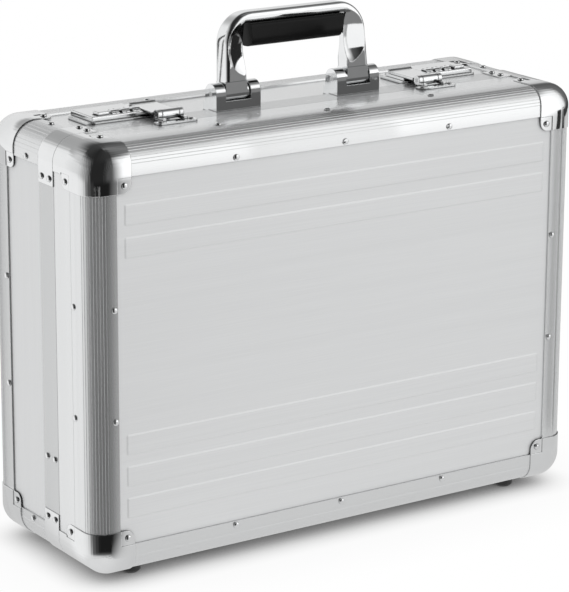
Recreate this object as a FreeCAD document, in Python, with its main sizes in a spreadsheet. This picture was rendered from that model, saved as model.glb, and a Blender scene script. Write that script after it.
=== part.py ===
import FreeCAD, Part
import math
import os
import Sketcher

# Aluminium attache case, standing on its hinge side with the lid to the front.
# Frame: +Z up, X along the width, -Y the lid's face. Origin on the floor, under the middle of the case.
# Boards sit in the channels of ribbed edge extrusions; chrome caps close the corners.

SIZES = {
    # Case
    "case_width": 460.0,
    "case_height": 338.5,
    "case_depth": 157.0,
    "lid_depth": 53.3,
    "seam_gap": 0.4,
    "overrun": 5.0,
    # Edge extrusions, which hold the boards in two channels
    "edge_radius": 15.0,
    "corner_radius": 20.0,
    "skin": 1.4,
    "face_flange": 23.6,
    "side_flange": 29.0,
    "corner_flange": 25.5,
    "channel_web": 1.2,
    "channel_lip": 3.0,
    "edge_setback": 26.0,
    "groove_depth": 0.2,
    "groove_width": 0.5,
    "board": 3.0,
    "board_play": 0.2,
    # Raised bands on both face panels
    "band_height": 0.45,
    "band_width": 17.0,
    "band_pitch": 25.5,
    "band_margin": 53.25,
    "band_end": 30.5,
    "band_corner": 2.0,
    # Rim rails
    "rim_width": 23.0,
    "rim_web": 6.0,
    "rim_lip": 18.0,
    "tongue_height": 3.4,
    "tongue_width": 1.2,
    "tongue_inset": 2.3,
    "tongue_play": 0.3,
    "tongue_stop": 60.0,
    # Chrome corner caps and rail corners
    "cap_skin": 0.9,
    "cap_cover": 36.0,
    "cap_tab": 41.0,
    "cap_tab_corner": 8.0,
    "cap_tab_step": 12.0,
    "cap_tab_sink": 0.4,
    "cap_side_corner": 6.0,
    "cap_strip": 25.5,
    "rail_corner_skin": 0.8,
    "rail_corner_cover": 38.0,
    # Rivets
    "rivet_radius": 2.6,
    "rivet_height": 1.8,
    "face_rivet_inset": 20.4,
    "side_rivet_inset": 25.6,
    "corner_rivet_inset": 22.2,
    "cap_rivet_inset": 30.0,
    "cap_rivet_depth": 35.0,
    "rail_rivet_inset": 32.5,
    "rail_rivet_edge": 5.6,
    "rivet_side_margin": 129.0,
    "rivet_end_margin": 125.15,
    "stay_rivet_rise": 82.0,
    # Feet
    "foot_radius": 8.0,
    "foot_height": 8.0,
    "foot_bevel": 2.0,
    "foot_margin": 46.0,
    "foot_inset": 24.0,
    # Linings
    "lining": 3.5,
    "lining_gap": 0.4,
    "lining_shy": 2.5,
    # Hinges
    "hinge_margin": 110.0,
    "hinge_width": 60.0,
    "hinge_axis_drop": 3.0,
    "hinge_barrel": 2.9,
    "hinge_pin": 1.45,
    "hinge_leaf": 1.2,
    "hinge_reach": 18.0,
    "knuckle_width": 21.4,
    "knuckle_gap": 0.3,
    "running_fit": 0.05,
    # Lid stays
    "stay_end_gap": 9.4,
    "stay_half_angle": 15.0,
    "stay_open_angle": 95.0,
    "stay_bar": 1.5,
    "stay_half_width": 6.0,
    "stay_stud": 2.4,
    "stay_pivot": 2.0,
    "stay_head_radius": 4.5,
    "stay_head": 1.2,
    "stay_stand_off": 1.0,
    "stay_play": 0.2,
    # Handle and its brackets
    "handle_back": 19.7,
    "handle_lean_angle": 5.0,
    "handle_half_width": 66.5,
    "handle_flare_angle": 2.8,
    "handle_arm": 18.5,
    "handle_depth": 18.0,
    "handle_neck": 9.0,
    "handle_neck_depth": 14.0,
    "handle_top": 62.5,
    "handle_spine": 9.0,
    "handle_corner": 25.0,
    "handle_inner_corner": 1.5,
    "handle_edge_round": 4.0,
    "handle_barrel": 7.0,
    "handle_barrel_width": 22.4,
    "handle_pin": 2.0,
    "scoop_spread": 22.5,
    "scoop_depth": 6.5,
    "scoop_inset": 4.5,
    "scoop_rise": 34.0,
    "grip_height": 19.0,
    "grip_depth": 20.0,
    "grip_end_gap": 5.0,
    "grip_round": 8.0,
    "grip_top_round": 3.0,
    "pivot_height": 12.5,
    "lug_radius": 8.5,
    "lug_width": 9.0,
    "bracket_gap": 23.2,
    "bracket_floor": 3.0,
    "bracket_bar": 7.5,
    "bracket_bar_wall": 3.0,
    "bracket_block": 5.5,
    "bracket_heel": 3.0,
    # Combination locks
    "lock_gap_share": 0.6331,
    "lock_plate_width": 73.5,
    "lock_plate_depth": 38.0,
    "lock_plate": 1.6,
    "lock_plate_corner": 5.0,
    "lock_back": 41.2,
    "cover_inner": 12.35,
    "cover_outer": 33.75,
    "cover_front": 16.5,
    "cover_rear": 16.5,
    "cover_height": 4.0,
    "cover_round": 1.2,
    "dial_radius": 4.7,
    "dial_width": 6.6,
    "dial_pitch": 9.3,
    "dial_middle": 1.75,
    "dial_row": 10.0,
    "dial_axis_height": 3.8,
    "dial_slot_play": 0.3,
    "dial_notch": 0.7,
    "axle_radius": 1.2,
    "axle_end": 1.2,
    "button_width": 8.0,
    "button_length": 10.0,
    "button_height": 2.4,
    "button_lift": 0.2,
    "button_round": 0.9,
    "button_start": 17.25,
    "button_row": 10.5,
    "button_travel": 4.0,
    "stem_length": 5.4,
    "stem_width": 4.0,
    "stem_depth": 2.8,
    "slot_play": 0.3,
    "seat_height": 2.5,
    "seat_depth": 25.5,
    "seat_end": 36.0,
    "seat_floor": 0.6,
    # Hasps, which hinge on plates on the lid
    "hasp_offset": 24.15,
    "hasp_axis_back": 7.2,
    "hasp_axis_height": 5.2,
    "hasp_barrel": 4.0,
    "hasp_pin": 1.5,
    "hasp_width": 23.0,
    "hasp_knuckle": 15.0,
    "hasp_arm": 2.0,
    "hasp_arm_lift": -0.9,
    "hasp_arm_start": 5.5,
    "hasp_length": 40.5,
    "hasp_lip": 3.0,
    "hasp_lip_rise": 1.5,
    "hasp_tongue_start": 27.0,
    "hasp_tongue_length": 6.0,
    "hasp_tongue_width": 3.0,
    "hasp_tongue_drop": 2.6,
    "tongue_slot_play": 0.7,
    "tongue_slot_end": 2.0,
    "hasp_plate_width": 36.0,
    "hasp_plate_depth": 7.9,
    "hasp_plate": 1.8,
    "hasp_plate_corner": 3.0,
    "hasp_web": 2.5,
}
GROOVE_COUNT = 9
GROOVE_FIRST_ANGLE = 8.0
GROOVE_LAST_ANGLE = 86.0
DIAL_DIGITS = 10
BANDS_ABOVE = 2
BANDS_BELOW = 3
BAND_SLOPE_ANGLE = -72.0
RIVET_SIDES = 12

doc = FreeCAD.newDocument("attache_case")
sheet = doc.addObject("Spreadsheet::Sheet", "Sizes")
for row, (alias, number) in enumerate(SIZES.items(), start=1):
    sheet.set(f"A{row}", alias)
    sheet.set(f"B{row}", str(number))
    sheet.setAlias(f"B{row}", alias)
doc.recompute()


class Term:
    """A size worked out from the sheet: its value now, and the formula that a property follows."""

    def __init__(self, value, text):
        self.value = value
        self.text = text

    def __neg__(self):
        return Term(-self.value, f"-({self.text})")

    def __add__(self, other):
        other = term(other)
        return Term(self.value + other.value, f"({self.text} + {other.text})")

    def __sub__(self, other):
        other = term(other)
        return Term(self.value - other.value, f"({self.text} - {other.text})")

    def __mul__(self, other):
        other = term(other)
        return Term(self.value * other.value, f"({self.text} * {other.text})")

    def __truediv__(self, other):
        other = term(other)
        return Term(self.value / other.value, f"({self.text} / {other.text})")

    __radd__ = __add__
    __rmul__ = __mul__

    def __rsub__(self, other):
        return term(other) - self


def term(number):
    return number if isinstance(number, Term) else Term(float(number), str(float(number)))


def cosine(angle):
    return Term(math.cos(math.radians(angle.value)), f"cos({angle.text} * 1 deg)")


def sine(angle):
    return Term(math.sin(math.radians(angle.value)), f"sin({angle.text} * 1 deg)")


def least(first, second):
    return Term(min(first.value, second.value), f"min({first.text}; {second.text})")


class Sheet:
    """Gives each cell of the sheet as a term, by its alias."""

    def __getattr__(self, alias):
        return Term(float(sheet.get(alias)), f"Sizes.{alias}")


S = Sheet()
ORIGIN = FreeCAD.Vector(0, 0, 0)
X = FreeCAD.Vector(1, 0, 0)
Y = FreeCAD.Vector(0, 1, 0)
Z = FreeCAD.Vector(0, 0, 1)
LEFT = -1
RIGHT = 1
SIDES = {"left": LEFT, "right": RIGHT}

half_width = S.case_width / 2
half_height = S.case_height / 2
half_depth = S.case_depth / 2
bottom = S.foot_height
middle = bottom + half_height
top = bottom + S.case_height
front = -half_depth
seam = front + S.lid_depth
deck = top - S.skin
channel = S.skin + S.board
inner_face = channel + S.channel_web

pieces = []


def bind(thing, name, amount):
    thing.setExpression(name, term(amount).text)


def place(thing, spot, turn=None):
    """Puts a piece at a spot worked out from the sheet, with a turn that doesn't change."""
    if turn is not None:
        thing.Placement = FreeCAD.Placement(ORIGIN, turn)
    for axis, amount in zip("xyz", spot):
        bind(thing, f"Placement.Base.{axis}", amount)


def axes(first, second):
    """The turn that takes a piece's own x and y to two directions of the case."""
    return FreeCAD.Rotation(first, second, first.cross(second), "XYZ")


def spot_now(spot):
    return FreeCAD.Vector(*[term(amount).value for amount in spot])


def new_body(label, keep=True):
    body = doc.addObject("PartDesign::Body", label)
    body.Label = label
    if keep:
        pieces.append(body)
    return body


def draw(sketch, outline):
    """Adds a closed outline. A corner is (x, y); (x, y, radius, turn) ends an arc, turn 1 to the left."""
    first = sketch.GeometryCount
    count = len(outline)
    starts = []
    ends = []
    for index, corner in enumerate(outline):
        before = spot_now((*outline[index - 1][:2], 0))
        here = spot_now((*corner[:2], 0))
        if len(corner) == 2:
            sketch.addGeometry(Part.LineSegment(before, here), False)
            starts.append(1)
            ends.append(2)
            continue
        radius = corner[2].value
        chord = here - before
        side = FreeCAD.Vector(-chord.y, chord.x, 0) / chord.Length * corner[3]
        rise = math.sqrt(max(radius ** 2 - chord.Length ** 2 / 4, 0))
        centre = (before + here) / 2 + side * rise
        begin, finish = (before, here) if corner[3] == 1 else (here, before)
        angles = [math.atan2(spot.y - centre.y, spot.x - centre.x) for spot in (begin, finish)]
        circle = Part.Circle(centre, Z, radius)
        sketch.addGeometry(Part.ArcOfCircle(circle, angles[0], angles[1]), False)
        starts.append(1 if corner[3] == 1 else 2)
        ends.append(2 if corner[3] == 1 else 1)
    holds = []
    formulas = {}
    for index, corner in enumerate(outline):
        here = first + index
        after = (index + 1) % count
        holds.append(Sketcher.Constraint("Coincident", here, ends[index], first + after, starts[after]))
        for kind, amount, axis in (("DistanceX", corner[0], -2), ("DistanceY", corner[1], -1)):
            if isinstance(amount, Term):
                hold = Sketcher.Constraint(kind, -1, 1, here, ends[index], amount.value)
                hold.Name = f"{kind}{here}"
                formulas[hold.Name] = amount.text
            else:
                hold = Sketcher.Constraint("PointOnObject", here, ends[index], axis)
            holds.append(hold)
        if len(corner) > 2:
            hold = Sketcher.Constraint("Radius", here, corner[2].value)
            hold.Name = f"Radius{here}"
            formulas[hold.Name] = corner[2].text
            holds.append(hold)
    sketch.addConstraint(holds)
    for name, text in formulas.items():
        sketch.setExpression(f"Constraints.{name}", text)


def draw_circle(sketch, x, y, radius):
    here = sketch.GeometryCount
    sketch.addGeometry(Part.Circle(spot_now((x, y, 0)), Z, radius.value), False)
    for kind, amount, axis in (("DistanceX", x, -2), ("DistanceY", y, -1)):
        if isinstance(amount, Term):
            hold = Sketcher.Constraint(kind, -1, 1, here, 3, amount.value)
            hold.Name = f"{kind}{here}"
            sketch.addConstraint(hold)
            sketch.setExpression(f"Constraints.{hold.Name}", amount.text)
        else:
            sketch.addConstraint(Sketcher.Constraint("PointOnObject", here, 3, axis))
    hold = Sketcher.Constraint("Radius", here, radius.value)
    hold.Name = f"Radius{here}"
    sketch.addConstraint(hold)
    sketch.setExpression(f"Constraints.{hold.Name}", radius.text)


def new_sketch(body, plane, *outlines, lift=0, circles=()):
    """A sketch on one of the body's own planes, lifted along the plane's normal."""
    sketch = body.newObject("Sketcher::SketchObject", "Outline")
    support = [feature for feature in body.Origin.OriginFeatures if feature.Role == plane][0]
    sketch.AttachmentSupport = [(support, "")]
    sketch.MapMode = "FlatFace"
    if isinstance(lift, Term):
        bind(sketch, "AttachmentOffset.Base.z", lift)
    for outline in outlines:
        draw(sketch, outline)
    for circle in circles:
        draw_circle(sketch, *circle)
    return sketch


def pad(body, sketch, length, reverse=False, both=False, slope=0):
    feature = body.newObject("PartDesign::Pad", "Pad")
    feature.Profile = sketch
    feature.Reversed = reverse
    feature.TaperAngle = slope
    if both:
        feature.SideType = "Symmetric"
    bind(feature, "Length", length)
    return feature


def pocket(body, sketch, length, reverse=False, both=False):
    feature = body.newObject("PartDesign::Pocket", "Pocket")
    feature.Profile = sketch
    feature.Reversed = reverse
    if both:
        feature.SideType = "Symmetric"
    bind(feature, "Length", length)
    return feature


def revolve(body, sketch, angle=360, reverse=False):
    feature = body.newObject("PartDesign::Revolution", "Revolution")
    feature.Profile = sketch
    feature.ReferenceAxis = (sketch, ["V_Axis"])
    feature.Angle = angle
    feature.Reversed = reverse
    return feature


def round_edges(body, base, radius, chosen):
    """Rounds the edges of a feature that a test on their middle points picks out."""
    doc.recompute()
    names = []
    for number, edge in enumerate(base.Shape.Edges, start=1):
        if chosen(edge.valueAt((edge.FirstParameter + edge.LastParameter) / 2), edge):
            names.append(f"Edge{number}")
    feature = body.newObject("PartDesign::Fillet", "Fillet")
    feature.Base = (base, names)
    bind(feature, "Radius", radius)
    return feature


def near(first, second):
    return abs(first - second) < 1e-4


def rectangle(x_low, y_low, x_high, y_high):
    return [(x_low, y_low), (x_high, y_low), (x_high, y_high), (x_low, y_high)]


def rounded(x_low, y_low, x_high, y_high, radius):
    return [
        (x_low + radius, y_low, radius, 1),
        (x_high - radius, y_low),
        (x_high, y_low + radius, radius, 1),
        (x_high, y_high - radius),
        (x_high - radius, y_high, radius, 1),
        (x_low + radius, y_high),
        (x_low, y_high - radius, radius, 1),
        (x_low, y_low + radius),
    ]


def group(label, template, placements):
    """Several like pieces in one node: placed copies of one template."""
    doc.recompute()
    copies = []
    for placement in placements:
        copy = template.Shape.copy()
        copy.Placement = placement
        copies.append(copy)
    node = doc.addObject("Part::Feature", label)
    node.Label = label
    node.Shape = Part.makeCompound(copies)
    pieces.append(node)
    return node


def stood_at(spot, turn=FreeCAD.Rotation()):
    return FreeCAD.Placement(spot_now(spot), turn)


# Edge extrusions. In each profile's own frame the centre of the rounded corner is the origin, x runs along
# one flange and y along the other, and each flange has a channel for a board.
def extrusion(label, length, radius, flange_x, flange_y, keep=True):
    body = new_body(label, keep)
    bore = radius - S.skin
    web = S.channel_web
    outline = [
        (flange_x - radius, -radius),
        (flange_x - radius, -bore),
        (web, -bore),
        (web, channel - radius),
        (flange_x - radius - S.channel_lip, channel - radius),
        (flange_x - radius - S.channel_lip, inner_face - radius),
        (0, inner_face - radius),
        (0, -bore),
        (-bore, 0, bore, -1),
        (inner_face - radius, 0),
        (inner_face - radius, flange_y - radius - S.channel_lip),
        (channel - radius, flange_y - radius - S.channel_lip),
        (channel - radius, web),
        (-bore, web),
        (-bore, flange_y - radius),
        (-radius, flange_y - radius),
        (-radius, 0),
        (0, -radius, radius, 1),
    ]
    pad(body, new_sketch(body, "XY_Plane", outline, lift=-length / 2), length)
    first = math.radians(GROOVE_FIRST_ANGLE)
    tip = radius - S.groove_depth
    mouth = radius + S.groove_depth
    groove = [
        (-tip * math.cos(first), -tip * math.sin(first)),
        (-mouth * math.cos(first) + S.groove_width * math.sin(first),
         -mouth * math.sin(first) - S.groove_width * math.cos(first)),
        (-mouth * math.cos(first) - S.groove_width * math.sin(first),
         -mouth * math.sin(first) + S.groove_width * math.cos(first)),
    ]
    cut = pocket(body, new_sketch(body, "XY_Plane", groove, lift=length / 2), length)
    ribs = body.newObject("PartDesign::PolarPattern", "Ribs")
    ribs.Originals = [cut]
    ribs.Axis = (cut.Profile[0], ["N_Axis"])
    ribs.Angle = GROOVE_LAST_ANGLE - GROOVE_FIRST_ANGLE
    ribs.Occurrences = GROOVE_COUNT
    body.Tip = ribs
    return body


long_edge = S.case_width - S.edge_setback * 2
short_edge = S.case_height - S.edge_setback * 2
for half, out, y_spot in (("lid", Y, front + S.edge_radius), ("base", -Y, -front - S.edge_radius)):
    edge_places = {
        "left": (X, (-half_width + S.edge_radius, y_spot, middle), short_edge),
        "right": (-X, (half_width - S.edge_radius, y_spot, middle), short_edge),
        "top": (-Z, (0, y_spot, top - S.edge_radius), long_edge),
        "bottom": (Z, (0, y_spot, bottom + S.edge_radius), long_edge),
    }
    for side, (inward, spot, length) in edge_places.items():
        edge = extrusion(f"{half}_edge_{side}", length, S.edge_radius, S.face_flange, S.side_flange)
        place(edge, spot, axes(inward, out))

rim_back = seam + S.rim_width
corner_stop = -front - S.edge_radius - S.channel_web
corner_length = corner_stop - rim_back - S.board_play
corner_profile = extrusion(
    "corner_profile", corner_length, S.corner_radius, S.corner_flange, S.corner_flange, keep=False)
corner_turns = {
    "top_left": (X, -Z, -1, 1),
    "top_right": (-Z, -X, 1, 1),
    "bottom_right": (-X, Z, 1, -1),
    "bottom_left": (Z, X, -1, -1),
}


def corner_spots(depth):
    """The four rounded corners of the case's outline, each with its turn, at one depth."""
    for inward, along, x_side, z_side in corner_turns.values():
        x_spot = (half_width - S.corner_radius) * x_side
        z_spot = middle + (half_height - S.corner_radius) * z_side
        yield (x_spot, depth, z_spot), inward, along


profile_middle = rim_back + S.board_play + corner_length / 2
group("base_corner_profiles", corner_profile,
      [stood_at(spot, axes(inward, along)) for spot, inward, along in corner_spots(profile_middle)])


# Boards: two face panels with raised bands, and the base's four walls. Bodies in the case's own outline
# have x along the width, y downwards from mid-height and z from the lid's face to the rear.
def face_panel(label):
    body = new_body(label)
    edge = S.edge_radius + S.channel_web + S.board_play
    x_reach = half_width - edge
    y_reach = half_height - edge
    board = rectangle(-x_reach, -y_reach, x_reach, y_reach)
    pad(body, new_sketch(body, "XY_Plane", board, lift=S.skin), S.board)
    outermost = half_height - S.band_margin
    rises = [-outermost + S.band_pitch * step for step in range(BANDS_ABOVE)]
    rises += [outermost - S.band_pitch * step for step in range(BANDS_BELOW)]
    x_band = half_width - S.band_end
    half_band = S.band_width / 2
    bands = [rounded(-x_band, rise - half_band, x_band, rise + half_band, S.band_corner) for rise in rises]
    band_sketch = new_sketch(body, "XY_Plane", *bands, lift=S.skin)
    pad(body, band_sketch, S.band_height, reverse=True, slope=BAND_SLOPE_ANGLE)
    return body


inward_view = axes(X, -Z)
place(face_panel("lid_panel"), (0, front, middle), inward_view)
place(face_panel("base_panel"), (0, -front, middle), axes(-X, -Z))

wall_front = seam + S.rim_web + S.board_play
wall_rear = corner_stop - S.board_play
wall_inset = S.corner_radius + S.channel_web + S.board_play


def wall(label, width, height, corner):
    board = doc.addObject("Part::Box", label)
    board.Label = label
    pieces.append(board)
    bind(board, "Length", width)
    bind(board, "Width", wall_rear - wall_front)
    bind(board, "Height", height)
    place(board, (corner[0], wall_front, corner[1]))


long_wall = S.case_width - wall_inset * 2
short_wall = S.case_height - wall_inset * 2
wall("base_wall_top", long_wall, S.board, (-long_wall / 2, top - channel))
wall("base_wall_bottom", long_wall, S.board, (-long_wall / 2, bottom + S.skin))
wall("base_wall_left", S.board, short_wall, (-half_width + S.skin, bottom + wall_inset))
wall("base_wall_right", S.board, short_wall, (half_width - channel, bottom + wall_inset))


# Rim rails and linings, which follow the case's rounded outline.
def case_outline(inset):
    x_reach = half_width - inset
    y_reach = half_height - inset
    return rounded(-x_reach, -y_reach, x_reach, y_reach, S.corner_radius - inset)


def add_ring(body, outer, inner, start, end):
    pad(body, new_sketch(body, "XY_Plane", case_outline(outer), case_outline(inner), lift=start), end - start)


seam_shy = S.seam_gap / 2
lid_seam = S.lid_depth - seam_shy
base_seam = S.lid_depth + seam_shy

lid_rim = new_body("lid_rim")
place(lid_rim, (0, front, middle), inward_view)
leg_start = S.edge_radius + S.channel_web + S.board_play
add_ring(lid_rim, 0, S.skin, S.side_flange + S.board_play, lid_seam)
add_ring(lid_rim, S.skin, channel, leg_start, lid_seam)
add_ring(lid_rim, channel, inner_face, lid_seam - S.rim_web, lid_seam)
add_ring(lid_rim, S.tongue_inset, S.tongue_inset + S.tongue_width, lid_seam, lid_seam + S.tongue_height)
tongue_floor = half_height - S.tongue_stop
tongue_cut = rectangle(-half_width - S.overrun, tongue_floor, half_width + S.overrun, half_height + S.overrun)
tongue_sketch = new_sketch(lid_rim, "XY_Plane", tongue_cut, lift=lid_seam)
pocket(lid_rim, tongue_sketch, S.tongue_height + S.overrun, reverse=True)

base_rim = new_body("base_rim")
place(base_rim, (0, front, middle), inward_view)
add_ring(base_rim, 0, S.skin, base_seam, S.lid_depth + S.rim_width)
add_ring(base_rim, S.skin, channel, base_seam, S.lid_depth + S.rim_web)
add_ring(base_rim, channel, inner_face, base_seam, S.lid_depth + S.rim_lip)
groove_depth = lid_seam + S.tongue_height + S.tongue_play
groove_outer = case_outline(S.tongue_inset - S.tongue_play)
groove_inner = case_outline(S.tongue_inset + S.tongue_width + S.tongue_play)
groove_sketch = new_sketch(base_rim, "XY_Plane", groove_outer, groove_inner, lift=groove_depth)
pocket(base_rim, groove_sketch, groove_depth - base_seam)


def lining(label, floor_start, floor_end, ring_start, ring_end):
    body = new_body(label)
    place(body, (0, front, middle), inward_view)
    outer = inner_face + S.lining_gap
    pad(body, new_sketch(body, "XY_Plane", case_outline(outer), lift=floor_start), floor_end - floor_start)
    add_ring(body, outer, outer + S.lining, ring_start, ring_end)
    return body


lining_floor = inner_face + S.lining_gap
lining_top = lining_floor + S.lining
lining("lid_lining", lining_floor, lining_top, lining_top, lid_seam - S.lining_shy)
lining("base_lining", S.case_depth - lining_top, S.case_depth - lining_floor,
       base_seam + S.lining_shy, S.case_depth - lining_top)


# Chrome corner caps: a pressed skin over each corner, with a sunk tab for a rivet on each of its three faces.
# In the cap's own frame the z axis is the axis of the rounded outline, with z 0 on the case's face.
def corner_cap(label, depth):
    body = new_body(label, keep=False)
    reach = S.cap_cover - S.corner_radius
    ball = S.corner_radius - S.edge_radius
    outer = S.corner_radius + S.cap_skin
    plate = [
        (-ball, 0),
        (0, -ball, ball, 1),
        (reach, -ball),
        (reach, reach - S.cap_tab_corner),
        (reach - S.cap_tab_corner, reach, S.cap_tab_corner, 1),
        (-ball, reach),
    ]
    pad(body, new_sketch(body, "XY_Plane", plate, lift=-S.cap_skin), S.cap_skin)

    def skin_outline(end):
        return [
            (-ball, 0),
            (-S.corner_radius, S.edge_radius, S.edge_radius, -1),
            (-S.corner_radius, end),
            (-outer, end),
            (-outer, S.edge_radius),
            (-ball, -S.cap_skin, S.edge_radius + S.cap_skin, 1),
        ]

    revolve(body, new_sketch(body, "XZ_Plane", skin_outline(depth)), 90)
    strip = [
        (-S.corner_radius, S.cap_tab),
        (-S.corner_radius, depth),
        (-outer, depth),
        (-outer, S.cap_tab),
    ]
    strip_length = S.cap_strip - S.corner_radius
    for plane, reverse in (("XZ_Plane", True), ("YZ_Plane", False)):
        pad(body, new_sketch(body, plane, skin_outline(S.cap_tab)), reach, reverse=reverse)
        if depth.value > S.cap_tab.value:
            pad(body, new_sketch(body, plane, strip), strip_length, reverse=reverse)
    end = body.Tip

    def tab_corner(point, edge):
        if not near(edge.Length, S.cap_skin.value) or not near(point.z, S.cap_tab.value):
            return False
        return near(point.x, reach.value) or near(point.y, reach.value)

    round_edges(body, end, S.cap_side_corner, tab_corner)
    tab = reach - S.cap_tab_step
    past = reach + S.overrun
    low = S.cap_tab - S.cap_tab_step
    face_tab = new_sketch(body, "XY_Plane", rectangle(tab, tab, past, past), lift=-S.cap_skin)
    pocket(body, face_tab, S.cap_tab_sink, reverse=True)
    x_tab = new_sketch(body, "YZ_Plane", rectangle(tab, low, past, S.cap_tab), lift=-outer)
    pocket(body, x_tab, S.cap_tab_sink, reverse=True)
    y_tab = new_sketch(body, "XZ_Plane", rectangle(tab, low, past, S.cap_tab), lift=outer)
    pocket(body, y_tab, S.cap_tab_sink)
    return body


lid_cap = corner_cap("lid_cap", lid_seam)
base_cap = corner_cap("base_cap", S.cap_tab)
group("lid_corner_caps", lid_cap,
      [stood_at(spot, axes(inward, along)) for spot, inward, along in corner_spots(front)])
group("base_corner_caps", base_cap,
      [stood_at(spot, axes(along, inward)) for spot, inward, along in corner_spots(-front)])

rail_corner = new_body("rail_corner", keep=False)
rail_outer = S.corner_radius + S.rail_corner_skin
rail_reach = S.rail_corner_cover - S.corner_radius
rail_strip = [
    (-rail_outer, rail_reach),
    (-rail_outer, 0),
    (0, -rail_outer, rail_outer, 1),
    (rail_reach, -rail_outer),
    (rail_reach, -S.corner_radius),
    (0, -S.corner_radius),
    (-S.corner_radius, 0, S.corner_radius, -1),
    (-S.corner_radius, rail_reach),
]
pad(rail_corner, new_sketch(rail_corner, "XY_Plane", rail_strip, lift=seam_shy), S.rim_width - S.seam_gap)
group("base_rail_corners", rail_corner,
      [stood_at(spot, axes(inward, along)) for spot, inward, along in corner_spots(seam)])

# Rubber feet, two under the lid and two under the base.
foot = new_body("foot", keep=False)
foot_outline = [
    (0, 0),
    (S.foot_radius - S.foot_bevel, 0),
    (S.foot_radius, S.foot_bevel),
    (S.foot_radius, S.foot_height),
    (0, S.foot_height),
]
revolve(foot, new_sketch(foot, "XZ_Plane", foot_outline))
foot_span = half_width - S.foot_margin
for half, depth in (("lid", front + S.foot_inset), ("base", -front - S.foot_inset)):
    group(f"{half}_feet", foot, [stood_at((foot_span * side, depth, 0)) for side in SIDES.values()])

# Rivets, as two groups of separate heads seated on the flanges, caps and rails. Each head is a faceted cone.
rivet = new_body("rivet", keep=False)
rivet_outline = []
for corner in range(RIVET_SIDES):
    turn = math.tau * (corner + 0.5) / RIVET_SIDES
    rivet_outline.append((S.rivet_radius * math.cos(turn), S.rivet_radius * math.sin(turn)))
pad(rivet, new_sketch(rivet, "XY_Plane", rivet_outline), S.rivet_height, slope=-40)

rivet_span = half_width - S.rivet_side_margin
rivet_rise = half_height - S.rivet_end_margin
tab_face = S.cap_skin - S.cap_tab_sink
rivet_spots = {"lid": [], "base": []}
for half, sign, face in (("lid", 1, front), ("base", -1, -front)):
    spots = rivet_spots[half]
    outward = -Y * sign
    cap_face = face - tab_face * sign
    row = face + S.side_rivet_inset * sign
    tab_row = face + S.cap_rivet_depth * sign
    for side in (LEFT, RIGHT):
        x_face = half_width * side
        z_face = middle + half_height * side
        z_row = middle + (half_height - S.face_rivet_inset) * side
        for step in (-1, 0, 1):
            spots.append(((rivet_span * step, face, z_row), outward))
            spots.append(((rivet_span * step, row, z_face), Z * side))
        for step in (-1, 1):
            z_spot = middle + rivet_rise * step
            spots.append((((half_width - S.face_rivet_inset) * side, face, z_spot), outward))
            spots.append(((x_face, row, z_spot), X * side))
            z_tab = middle + (half_height - S.cap_rivet_inset) * step
            x_tab = (half_width - S.cap_rivet_inset) * side
            spots.append(((x_tab, cap_face, z_tab), outward))
            spots.append(((x_face + tab_face * side, tab_row, z_tab), X * side))
            z_cap = middle + (half_height + tab_face) * step
            spots.append(((x_tab, tab_row, z_cap), Z * step))
base_spots = rivet_spots["base"]
profile_row = (rim_back - front - S.cap_tab) / 2
rail_rows = (seam + S.rail_rivet_edge, rim_back - S.rail_rivet_edge)
for side in (LEFT, RIGHT):
    for step in (-1, 1):
        z_profile = middle + (half_height - S.corner_rivet_inset) * step
        base_spots.append(((half_width * side, profile_row, z_profile), X * side))
        x_profile = (half_width - S.corner_rivet_inset) * side
        base_spots.append(((x_profile, profile_row, middle + half_height * step), Z * step))
        for rail_row in rail_rows:
            z_rail = middle + (half_height - S.rail_rivet_inset) * step
            base_spots.append((((half_width + S.rail_corner_skin) * side, rail_row, z_rail), X * side))
            x_rail = (half_width - S.rail_rivet_inset) * side
            z_skin = middle + (half_height + S.rail_corner_skin) * step
            base_spots.append(((x_rail, rail_row, z_skin), Z * step))
    for rail_row in rail_rows:
        base_spots.append(((half_width * side, rail_row, bottom + S.stay_rivet_rise), X * side))
for half, spots in rivet_spots.items():
    group(f"{half}_rivets", rivet, [stood_at(spot, FreeCAD.Rotation(Z, outward)) for spot, outward in spots])

# Hinges under the seam: two knuckles on the base's leaf, one between them on the lid's, and a pin.
hinge_axis = bottom - S.hinge_axis_drop
leaf_low = S.hinge_axis_drop - S.hinge_leaf
leaf_start = S.hinge_barrel + S.knuckle_gap


def hinge_leaf(label, toward, spans):
    body = new_body(label, keep=False)
    leaf = rectangle(leaf_start * toward, leaf_low, S.hinge_reach * toward, S.hinge_axis_drop)
    pad(body, new_sketch(body, "YZ_Plane", leaf), S.hinge_width, both=True)
    bore = S.hinge_pin + S.running_fit
    for start, end in spans:
        pad(body, new_sketch(body, "YZ_Plane", lift=start, circles=[(0, 0, S.hinge_barrel)]), end - start)
        web = rectangle(0, leaf_low, leaf_start * toward, S.hinge_barrel)
        pad(body, new_sketch(body, "YZ_Plane", web, lift=start), end - start)
    pocket(body, new_sketch(body, "YZ_Plane", circles=[(0, 0, bore)]), S.hinge_width + S.overrun, both=True)
    return body


knuckle_half = S.knuckle_width / 2
hinge_half = S.hinge_width / 2
lid_span = [(-knuckle_half, knuckle_half)]
base_span = [(-hinge_half, -knuckle_half - S.knuckle_gap), (knuckle_half + S.knuckle_gap, hinge_half)]
hinge_span = half_width - S.hinge_margin
hinge_spots = [stood_at((hinge_span * side, seam, hinge_axis)) for side in SIDES.values()]
group("lid_hinge_leaves", hinge_leaf("lid_hinge_leaf", -1, lid_span), hinge_spots)
group("base_hinge_leaves", hinge_leaf("base_hinge_leaf", 1, base_span), hinge_spots)


def pin(label, radius, length):
    body = new_body(label, keep=False)
    pad(body, new_sketch(body, "YZ_Plane", circles=[(0, 0, radius)]), length, both=True)
    return body


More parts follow.
